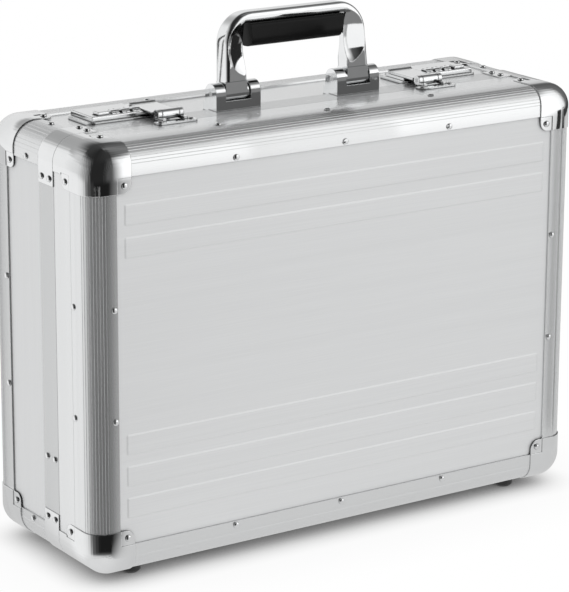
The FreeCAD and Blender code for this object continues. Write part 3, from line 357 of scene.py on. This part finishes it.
def turned_shape(outline, steps):
    """A closed mesh, spun from an outline of radius and height pairs about its height."""
    shape = bmesh.new()
    rim = [shape.verts.new((radius, 0.0, height)) for radius, height in outline]
    edges = [shape.edges.new(pair) for pair in zip(rim, rim[1:])]
    bmesh.ops.spin(shape, geom=rim + edges, cent=(0, 0, 0), axis=(0, 0, 1), angle=2 * pi, steps=steps,
                   use_merge=True)
    bmesh.ops.remove_doubles(shape, verts=shape.verts, dist=FINE_MERGE)
    bmesh.ops.recalc_face_normals(shape, faces=shape.faces)
    for face in shape.faces:
        face.smooth = True
    return shape


def domed_outline(radius, height, foot, rings):
    """A full, flat-crowned dome on an upright foot, from the middle of its underside to its crown."""
    outline = [(0.0, 0.0), (radius, 0.0)]
    for ring in range(rings + 1):
        turn = pi / 2 * ring / rings
        outline.append((radius * max(cos(turn), 0.0) ** DOME_FULLNESS,
                        foot + (height - foot) * sin(turn) ** DOME_FULLNESS))
    return outline


def add_copy(mesh, shape, place):
    data = bpy.data.meshes.new("copy")
    shape.to_mesh(data)
    data.transform(place)
    mesh.from_mesh(data)
    bpy.data.meshes.remove(data)


def placed_object(name, mesh, material):
    data = bpy.data.meshes.new(name)
    mesh.to_mesh(data)
    mesh.free()
    data.materials.append(material)
    placed = bpy.data.objects.new(name, data)
    bpy.context.scene.collection.objects.link(placed)
    return placed


def new_piece(name, mesh, material, body):
    piece = placed_object(name, mesh, material)
    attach(piece, body)
    return piece


case_middle = (solid_box[0] + solid_box[1]) / 2
rivet_chrome = polished_chrome("rivet heads", RIVET_GLOSS, RIVET_SMUDGE, edge=RIVET_EDGE)
for half in ("lid", "base"):
    boxes = islands(f"{half}_rivets")
    size = boxes[0][1] - boxes[0][0]
    head = turned_shape(domed_outline(max(size) / 2, min(size), RIVET_FOOT, RIVET_RINGS), RIVET_STEPS)
    heads = bmesh.new()
    for low, high in boxes:
        size = high - low
        middle = (low + high) / 2
        axis = min(range(3), key=lambda number: size[number])
        outward = Vector((0, 0, 0))
        outward[axis] = 1.0 if middle[axis] > case_middle[axis] else -1.0
        seat = Matrix.Translation(middle - outward * size[axis] / 2)
        add_copy(heads, head, seat @ outward.to_track_quat("Z", "Y").to_matrix().to_4x4())
    head.free()
    rivets = new_piece(f"{half}_rivet_heads", heads, rivet_chrome, half)
    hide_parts(f"{half}_rivets")

# Feet
# Black rubber pads with a bevelled tread, each moulded in one piece. Two are pressed onto the lid's bottom
# edge and two onto the base's.
RUBBER_GRAIN = 900.0
RUBBER_DUST = 60.0
RUBBER_TONES = (0.010, 0.028)
RUBBER_UNEVEN = 0.2
RUBBER_DULL = 0.50
RUBBER_BUMP = 0.35
RUBBER_DEPTH = 0.0002


def moulded_rubber(name):
    material, finish = new_finish(name)
    grain = stretched_noise(finish, even(RUBBER_GRAIN), detail=3.0)
    dust = stretched_noise(finish, even(RUBBER_DUST))
    set_surface(finish, Base_Color=dust.shade(RUBBER_TONES), Roughness=dust * RUBBER_UNEVEN + RUBBER_DULL,
                Normal=raised(finish, grain, RUBBER_BUMP, RUBBER_DEPTH))
    return material


dress(moulded_rubber("black rubber"), "lid_feet", "base_feet")

# Hinges and lid stays
# Plated steel: folded hinge leaves on drawn pins under the seam, and stamped slotted stays that turn on
# headed pivots and slide along studs.
STEEL_HAIRS = (160.0, 2200.0)
STEEL_CLOUDS = 45.0
STEEL_TONES = (0.56, 0.72)
STEEL_UNEVEN = (0.12, 0.10)
STEEL_DULL = 0.18
STEEL_BUMP = 0.08


def plated_steel(name):
    material, finish = new_finish(name)
    hair = stretched_noise(finish, waves(WIDTH, *STEEL_HAIRS))
    cloud = stretched_noise(finish, even(STEEL_CLOUDS), detail=3.0)
    set_surface(finish, Base_Color=cloud.shade(STEEL_TONES, COOL), Metallic=1.0,
                Roughness=weighed(hair, cloud, STEEL_UNEVEN) + STEEL_DULL,
                Normal=raised(finish, hair, STEEL_BUMP))
    return material


steel = plated_steel("plated steel")
dress(steel, "lid_hinge_leaves", "base_hinge_leaves", "hinge_pins", "stay_left", "stay_right",
      "lid_stay_pivots", "base_stay_studs", "hasp_pins", "handle_pins")

# Linings
# Trays of thin foam board covered with dark flocked cloth, pressed into the lid and the base. Their corners
# are soft.
LINING_WALL = 0.0022
LINING_CLEAR = 0.0004
LINING_ROUND = 0.006
LINING_SEGMENTS = 4
MOUTH_FACING = 0.9
CLOTH_PILE = 2400.0
CLOTH_NAP = 35.0
CLOTH_TONES = (0.020, 0.060)
CLOTH_MIX = (0.6, 0.4)
CLOTH_UNEVEN = 0.1
CLOTH_DULL = 0.85
CLOTH_BUMP = 0.5
CLOTH_DEPTH = 0.0003
CLOTH_SHEEN, CLOTH_SHEEN_DULL = 0.35, 0.4


def flocked_cloth(name):
    material, finish = new_finish(name)
    pile = stretched_noise(finish, even(CLOTH_PILE))
    nap = stretched_noise(finish, even(CLOTH_NAP), detail=3.0)
    set_surface(finish, Base_Color=weighed(pile, nap, CLOTH_MIX).shade(CLOTH_TONES),
                Roughness=nap * CLOTH_UNEVEN + CLOTH_DULL,
                Normal=raised(finish, pile, CLOTH_BUMP, CLOTH_DEPTH),
                Sheen_Weight=CLOTH_SHEEN, Sheen_Roughness=CLOTH_SHEEN_DULL)
    return material


cloth = flocked_cloth("flocked cloth")
for half, open_side in (("lid", 1), ("base", -1)):
    low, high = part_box(f"{half}_lining")
    size = high - low - Vector((LINING_CLEAR, LINING_CLEAR, LINING_CLEAR)) * 2
    tray = bmesh.new()
    bmesh.ops.create_cube(tray, size=1.0,
                          matrix=Matrix.Translation((low + high) / 2) @ Matrix.Diagonal((*size, 1)))
    mouth = [face for face in tray.faces if face.normal.y * open_side > MOUTH_FACING]
    bmesh.ops.delete(tray, geom=mouth, context="FACES_ONLY")
    creases = [edge for edge in tray.edges if len(edge.link_faces) == 2]
    bmesh.ops.bevel(tray, geom=creases, offset=LINING_ROUND, offset_type="OFFSET", affect="EDGES",
                    segments=LINING_SEGMENTS, profile=0.5, material=-1)
    bmesh.ops.recalc_face_normals(tray, faces=tray.faces)
    bmesh.ops.solidify(tray, geom=tray.faces[:], thickness=LINING_WALL)
    bmesh.ops.recalc_face_normals(tray, faces=tray.faces)
    for face in tray.faces:
        face.smooth = True
    lining = new_piece(f"{half}_lining_cloth", tray, cloth, half)
    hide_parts(f"{half}_lining")

# Handle
# A cast frame, polished and chrome plated, that turns on pins between two plated brackets. Its grip is a
# black moulding with a fine grain, closed round the frame's top bar.
HANDLE_GLOSS, HANDLE_SMUDGE = 0.03, 0.05
GRIP_GRAIN = 1100.0
GRIP_WEAR = (50.0, 120.0)
GRIP_TONES = (0.004, 0.010)
GRIP_UNEVEN = 0.16
GRIP_DULL = 0.26
GRIP_SHINE = 0.14
GRIP_BUMP = 0.25
GRIP_DEPTH = 0.0002


def grained_grip(name):
    material, finish = new_finish(name)
    place = finish.node("ShaderNodeTexCoord", out="Object")
    cells = finish.node("ShaderNodeTexVoronoi", {"feature": "DISTANCE_TO_EDGE"},
                        {"Vector": place, "Scale": GRIP_GRAIN})
    wear = stretched_noise(finish, waves(WIDTH, *GRIP_WEAR), detail=3.0)
    set_surface(finish, Base_Color=wear.shade(GRIP_TONES), Roughness=wear * GRIP_UNEVEN + GRIP_DULL,
                Normal=raised(finish, cells, GRIP_BUMP, GRIP_DEPTH), Specular_IOR_Level=GRIP_SHINE)
    return material


handle_chrome = polished_chrome("handle chrome", HANDLE_GLOSS, HANDLE_SMUDGE)
dress(handle_chrome, "handle_frame", "handle_bracket_left", "handle_bracket_right")
dress(grained_grip("grained grip"), "handle_grip")

# Combination locks
# Two mirrored locks in plated die castings: a plate screwed to the base, a housing over the dials, a sliding
# button and a sprung hasp on the lid.
LOCK_GLOSS, LOCK_SMUDGE = 0.05, 0.07
LOCK_EDGE = 0.0014
# The locks' painted shade reaches further, drawing dark outlines round their parts.
LOCK_SHADE_REACH = 0.004
lock_chrome = polished_chrome("lock chrome", LOCK_GLOSS, LOCK_SMUDGE, edge=LOCK_EDGE, reach=LOCK_SHADE_REACH)
for side in ("left", "right"):
    dress(lock_chrome, f"lock_plate_{side}", f"lock_cover_{side}", f"lock_button_{side}", f"hasp_{side}",
          f"hasp_plate_{side}")

# Lock screws
# Small round-headed steel screws with a driver slot: two behind each hasp, in the lock's plate, and one at
# each end of the plate on the lid.
SCREW_RADIUS = 0.0019
SCREW_HEIGHT = 0.0009
SCREW_FOOT = 0.0003
SCREW_RINGS = 4
SCREW_STEPS = 20
SCREW_SLOT = 0.0006
SCREW_SLOT_DEPTH = 0.0004
SCREW_SLOT_FACING = 0.3
SCREW_EDGE = 0.0045
SCREW_INSET = 0.006
SCREW_PITCH = 0.012
LOCK_SCREW_TURNS = (25, 70)
LID_SCREW_TURNS = (100, 40)
HASP_PLATE = 0.0018
screw = turned_shape(domed_outline(SCREW_RADIUS, SCREW_HEIGHT, SCREW_FOOT, SCREW_RINGS), SCREW_STEPS)
for wall in (-SCREW_SLOT / 2, SCREW_SLOT / 2):
    parts = screw.verts[:] + screw.edges[:] + screw.faces[:]
    bmesh.ops.bisect_plane(screw, geom=parts, dist=FINE_MERGE, plane_co=(wall, 0, 0), plane_no=(1, 0, 0))
slot_faces = [face for face in screw.faces
              if abs(face.calc_center_median().x) < SCREW_SLOT / 2 and face.normal.z > SCREW_SLOT_FACING]
sunk = bmesh.ops.extrude_face_region(screw, geom=slot_faces)
bmesh.ops.delete(screw, geom=slot_faces, context="FACES")
bmesh.ops.translate(screw, vec=(0, 0, -SCREW_SLOT_DEPTH),
                    verts=[part for part in sunk["geom"] if isinstance(part, bmesh.types.BMVert)])
lock_screws = bmesh.new()
lid_screws = bmesh.new()
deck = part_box("lid_edge_top")[1].z
for side, sign in (("left", -1), ("right", 1)):
    low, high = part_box(f"lock_plate_{side}")
    inner = high.x if side == "left" else low.x
    for step, turn in enumerate(LOCK_SCREW_TURNS):
        spot = Vector((inner + (SCREW_INSET + SCREW_PITCH * step) * sign, high.y - SCREW_EDGE, high.z))
        add_copy(lock_screws, screw, Matrix.Translation(spot) @ Matrix.Rotation(radians(turn), 4, "Z"))
    low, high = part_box(f"hasp_plate_{side}")
    for edge, turn in zip((low.x + SCREW_EDGE, high.x - SCREW_EDGE), LID_SCREW_TURNS):
        spot = Vector((edge, low.y + SCREW_EDGE, deck + HASP_PLATE))
        add_copy(lid_screws, screw, Matrix.Translation(spot) @ Matrix.Rotation(radians(turn), 4, "Z"))
screw.free()
new_piece("lock_plate_screws", lock_screws, steel, "base")
new_piece("hasp_plate_screws", lid_screws, steel, "lid")

# Dials
# Nickel-plated wheels with ten numbers each, filled with black paint. They turn on a blackened steel axle
# under the housing, and their rims stand out of its window.
DIGITS = 10
DIGIT_SIZE = 0.00238
DIGIT_PROUD = 0.00003
DIGIT_SMOOTHNESS = 3
DIAL_GLOSS, DIAL_SMUDGE = 0.16, 0.10
DIAL_EDGE = 0.0003
# How far the dials' painted shade reaches into the gaps round them.
DIAL_SHADE_REACH = 0.003
PAINT_CLOUDS = 500.0
PAINT_TONES = (0.006, 0.02)
PAINT_UNEVEN = 0.2
PAINT_DULL = 0.45


def black_paint(name):
    material, finish = new_finish(name)
    cloud = stretched_noise(finish, even(PAINT_CLOUDS))
    set_surface(finish, Base_Color=cloud.shade(PAINT_TONES), Roughness=cloud * PAINT_UNEVEN + PAINT_DULL)
    return material


def digit_mesh(text):
    curve = bpy.data.curves.new("number " + text, "FONT")
    curve.body = text
    curve.size = DIGIT_SIZE
    curve.align_x = "CENTER"
    curve.align_y = "CENTER"
    curve.resolution_u = DIGIT_SMOOTHNESS
    curve.extrude = DIGIT_PROUD
    holder = bpy.data.objects.new("number " + text, curve)
    data = bpy.data.meshes.new_from_object(holder)
    bpy.data.objects.remove(holder)
    return data


nickel = polished_chrome("dial nickel", DIAL_GLOSS, DIAL_SMUDGE, edge=DIAL_EDGE, reach=DIAL_SHADE_REACH)
paint = black_paint("black number paint")
dress(paint, "dial_axles")
digit_shapes = [digit_mesh(str(number)) for number in range(DIGITS)]
for side in ("left", "right"):
    for number in (1, 2, 3):
        dial = f"dial_{side}_{number}"
        dress(nickel, dial)
        low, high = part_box(dial)
        middle = (low + high) / 2
        reach = (high.z - low.z) / 2
        ring = bmesh.new()
        for digit, shape in enumerate(digit_shapes):
            count = len(ring.verts)
            ring.from_mesh(shape)
            turn = Matrix.Rotation(2 * pi * digit / DIGITS, 4, "X")
            place = Matrix.Translation(middle) @ turn @ Matrix.Translation((0, 0, reach))
            bmesh.ops.transform(ring, matrix=place, verts=ring.verts[count:])
        new_piece(f"{dial}_numbers", ring, paint, dial)

# Floor
# A pale floor that shows only the soft shade round the case. Polished metal also sees a sheet of white paper
# on it, in front of the lid.
FLOOR_SIZE = 6.0
SHADE_REACH = 0.028
SHADE_CURVE = 0.9
HAZE_REACH = 0.10
HAZE_SHARE = 0.10
SHADE_SAMPLES = 24
FACE_CORNER = Vector((0.215, -0.0785, 0.0))
PAPER_CORNER = FACE_CORNER * Vector((-1.0, 1.0, 1.0))
PAPER_ANGLE = radians(21)
PAPER_SIDE = (-0.02, 0.03)
PAPER_END = (0.45, 0.75)
PAPER_TONE = 0.62


def hide_from(thing, *rays):
    for ray in rays:
        setattr(thing, f"visible_{ray}", False)


floor_paint, paper = new_finish("pale floor")
contact = open_air(paper, SHADE_REACH, SHADE_SAMPLES)
around = open_air(paper, HAZE_REACH, SHADE_SAMPLES)
under = contact * (1.0 + SHADE_CURVE - contact * SHADE_CURVE) * (around * HAZE_SHARE + (1.0 - HAZE_SHARE))
shaded = paper.node("ShaderNodeBsdfTransparent", None, {"Color": under.shade((0.0, 1.0))})
place = paper.node("ShaderNodeTexCoord", out="Object")
across = paper.node("ShaderNodeSeparateXYZ", None, {0: place}, out="X")
ahead = PAPER_CORNER.y - across.also("Y")
beside = across - PAPER_CORNER.x - ahead * tan(PAPER_ANGLE)
sheet = smooth_step(beside, *PAPER_SIDE) * (1 - smooth_step(ahead, *PAPER_END))
mirrored = paper.node("ShaderNodeMixShader", None, {
    0: sheet, 1: paper.node("ShaderNodeBsdfTransparent"),
    2: paper.node("ShaderNodeEmission", None, {"Color": grey(PAPER_TONE)})})
to_camera = paper.node("ShaderNodeLightPath", out="Is Camera Ray")
floor_surface = paper.node("ShaderNodeMixShader", None, {0: to_camera, 1: mirrored, 2: shaded})
paper.node("ShaderNodeOutputMaterial", None, {"Surface": floor_surface})
floor_mesh = bmesh.new()
bmesh.ops.create_grid(floor_mesh, x_segments=1, y_segments=1, size=FLOOR_SIZE / 2)
floor = placed_object("floor", floor_mesh, floor_paint)
floor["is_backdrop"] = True
hide_from(floor, "diffuse", "transmission", "shadow")

# Cards
# Stiff cards, black, grey and white, that stand round the case out of the camera's view. Only polished metal
# sees them, so they draw the patches and lines in the handle, the brackets and the caps.
FACING_BACK = Matrix.Rotation(-pi / 2, 4, "X")
FACING_LEFT = Matrix.Rotation(-pi / 2, 4, "Y")
FACING_RIGHT = Matrix.Rotation(pi / 2, 4, "Y")
HANDLE_CARDS = (("white handle card", (0.01, -0.12, 0.38), FACING_BACK, (0.14, 0.11), 1.0),
                ("black handle card", (0.03, -0.0475, 0.385), FACING_LEFT, (0.04, 0.055), 0.02),
                ("grey handle card", (0.03, -0.060, 0.3623), FACING_BACK, (0.20, 0.0315), 0.22))
HANDLE_SIDE_TONE = 0.03
HANDLE_SIDE_TALL = 0.085
HANDLE_SIDE_MIDDLE = 0.3975
HANDLE_SIDE_AWAY = Vector((-0.03, 0.0445, 0.0))
HANDLE_SIDE_STRIPS = ((0.001, 0.004), (0.0085, 0.002))
LEFT_STRIPS = ((-30, 0.020, 0.55), (-47, 0.010, 0.35))
LEFT_STRIP_AWAY = 0.5
LEFT_STRIP_LOW = 0.02
LEFT_STRIP_TALL = 0.27
RIGHT_STRIPS = ((62, 0.016), (82, 0.030))
RIGHT_STRIP_AWAY = 0.15
RIGHT_STRIP_TALL = 0.33
RIGHT_STRIP_TONE = 0.03
BRACKET_CARD = (0.086, 0.050)
BRACKET_CARD_AWAY = Vector((0.016, -0.026, 0.0004))
BRACKET_CARD_TONE = 0.10


def glossy_card(name, place, size, tone, one_sided=1.0):
    """A card that only polished metal sees. One sided, it is clear from behind."""
    material, tint = new_finish(name)
    behind = tint.node("ShaderNodeNewGeometry", out="Backfacing") * one_sided
    mixed = tint.node("ShaderNodeMixShader", None, {
        0: behind, 1: tint.node("ShaderNodeEmission", None, {"Color": grey(tone)}),
        2: tint.node("ShaderNodeBsdfTransparent")})
    tint.node("ShaderNodeOutputMaterial", None, {"Surface": mixed})
    card_mesh = bmesh.new()
    bmesh.ops.create_grid(card_mesh, x_segments=1, y_segments=1, size=0.5,
                          matrix=place @ Matrix.Diagonal((*size, 1.0, 1.0)))
    card = placed_object(name, card_mesh, material)
    card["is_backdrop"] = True
    hide_from(card, "camera", "diffuse", "transmission", "shadow")


def strip_card(name, corner, angle, away, low, size, tone):
    """An upright strip that faces a corner of the lid, at a compass angle in degrees, 0 in front."""
    heading = Vector((sin(radians(angle)), -cos(radians(angle)), 0.0))
    middle = corner + heading * away + Vector((0.0, 0.0, low + size[1] / 2))
    facing = heading.to_track_quat("-Z", "Y").to_matrix().to_4x4()
    glossy_card(name, Matrix.Translation(middle) @ facing, size, tone, one_sided=0.0)


for name, middle, facing, size, tone in HANDLE_CARDS:
    glossy_card(name, Matrix.Translation(middle) @ facing, size, tone)
low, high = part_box("handle_frame")
for number, (inward, width) in enumerate(HANDLE_SIDE_STRIPS):
    spot = Vector((low.x, high.y - inward, HANDLE_SIDE_MIDDLE)) + HANDLE_SIDE_AWAY
    glossy_card(f"handle side card {number}", Matrix.Translation(spot) @ FACING_RIGHT,
                (HANDLE_SIDE_TALL, width), HANDLE_SIDE_TONE)
for angle, width, tone in LEFT_STRIPS:
    strip_card(f"strip card {-angle}", PAPER_CORNER, angle, LEFT_STRIP_AWAY, LEFT_STRIP_LOW,
               (width, LEFT_STRIP_TALL), tone)
for angle, width in RIGHT_STRIPS:
    strip_card(f"side strip {angle}", FACE_CORNER, angle, RIGHT_STRIP_AWAY, 0.0, (width, RIGHT_STRIP_TALL),
               RIGHT_STRIP_TONE)
for side in ("left", "right"):
    low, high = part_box(f"handle_bracket_{side}")
    spot = Vector(((low.x + high.x) / 2, low.y, deck)) + BRACKET_CARD_AWAY
    glossy_card(f"bracket card {side}", Matrix.Translation(spot), BRACKET_CARD, BRACKET_CARD_TONE)

# Room
# A white studio with soft light from all round. Polished metal sees its walls painted in four belts, one
# above the other, which are dark on the camera's own side.
BELT_JOINS = ((-3.0, 4.0), (22.0, 30.0), (34.0, 56.0))
DEEP_JOIN = (-52.0, -38.0)
DEEP_TONE = 0.75
HAZE_JOIN = (-40.0, 30.0)
HAZE_TONES = (0.65, 0.95)
room = bpy.data.worlds.new("studio")
bpy.context.scene.world = room
room.use_nodes = True
room.node_tree.nodes.clear()
sky = Wire(room.node_tree)
heading = sky.node("ShaderNodeTexCoord", out="Generated")
east = sky.node("ShaderNodeSeparateXYZ", None, {0: heading}, out="X")
compass = sky.sum("ARCTAN2", east, east.also("Y") * -1.0) * (0.5 / pi) + 0.5
climb = sky.sum("ARCSINE", east.also("Z")) * (180 / pi)


def belt(*tones):
    """A belt of the room: its brightness at each compass angle in degrees, 0 in front of the lid."""
    stops = [((angle + 180) / 360, tone) for angle, tone in tones]
    return sky.node("ShaderNodeValToRGB", {"stops": stops, "spread": "LINEAR"}, {"Fac": compass})


low_belt = belt((-180, 0.85), (-150, 0.92), (-120, 0.90), (-98, 0.80), (-85, 0.56), (-76, 0.15), (-60, 0.05),
                (-45, 0.012), (4, 0.012), (12, 0.20), (20, 0.46), (28, 0.60), (33, 0.85), (40, 1.00),
                (60, 0.70), (78, 0.40), (90, 0.04), (132, 0.03), (145, 0.60), (160, 0.80), (180, 0.85))
middle_belt = belt((-180, 0.80), (-150, 0.90), (-110, 0.65), (-80, 0.30), (-60, 0.02), (-15, 0.02),
                   (8, 0.10), (20, 1.10), (35, 1.30), (60, 1.20), (80, 0.95), (96, 0.16), (124, 0.10),
                   (136, 0.70), (146, 0.78), (160, 0.80), (180, 0.80))
upper_belt = belt((-180, 0.38), (-160, 0.42), (-140, 0.65), (-110, 0.50), (-80, 0.20), (-60, 0.02),
                  (-15, 0.02), (8, 0.10), (20, 1.00), (35, 1.30), (60, 1.20), (80, 0.95), (96, 0.16),
                  (124, 0.10), (136, 0.60), (150, 0.60), (165, 0.40), (180, 0.38))
high_belt = belt((-180, 0.05), (-120, 0.04), (-60, 0.02), (10, 0.04), (40, 0.15), (71, 0.20), (110, 0.12),
                 (140, 0.08), (180, 0.05))
walls = low_belt
for join, next_belt in zip(BELT_JOINS, (middle_belt, upper_belt, high_belt)):
    walls = smooth_step(climb, *join).blend(walls, next_belt)
walls = smooth_step(climb, *DEEP_JOIN).blend(grey(DEEP_TONE), walls)
haze = smooth_step(climb, *HAZE_JOIN).shade(HAZE_TONES)
path = sky.node("ShaderNodeLightPath", out="Is Diffuse Ray")
seen = path.also("Is Camera Ray").blend(path.blend(walls, haze), grey(1.0))
sky.node("ShaderNodeOutputWorld", None, {"Surface": sky.node("ShaderNodeBackground", None, {"Color": seen})})
bpy.context.scene.view_settings.view_transform = "Standard"
bpy.context.scene.view_settings.look = "None"

# Camera
# A long lens in front of the lid's left side, a little above the handle. Its place, its angles and its focal
# length fit the photo's perspective.
IMAGE_HEIGHT = 592
FOCUS_PIXELS = 2835.98
SENSOR = 36.0
YAW = radians(33.694)
PITCH = radians(15.889)
ROLL = radians(0.286)
CAMERA_PLACE = Vector((-1.23664, -1.8488, 0.81507))
lens = bpy.data.cameras.new("camera")
lens.sensor_width = SENSOR
lens.lens = FOCUS_PIXELS * SENSOR / IMAGE_HEIGHT
camera = bpy.data.objects.new("camera", lens)
bpy.context.scene.collection.objects.link(camera)
aim = Matrix.Rotation(-YAW, 4, "Z") @ Matrix.Rotation(pi / 2 - PITCH, 4, "X") @ Matrix.Rotation(ROLL, 4, "Z")
camera.matrix_world = Matrix.Translation(CAMERA_PLACE) @ aim
bpy.context.scene.camera = camera

# Sizes
# The box of the solids, taken before they were dressed, and the box of the dressed case, side by side in one
# table.
boxes = {"cad": [list(corner) for corner in solid_box], "visual": [list(corner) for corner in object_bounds()]}
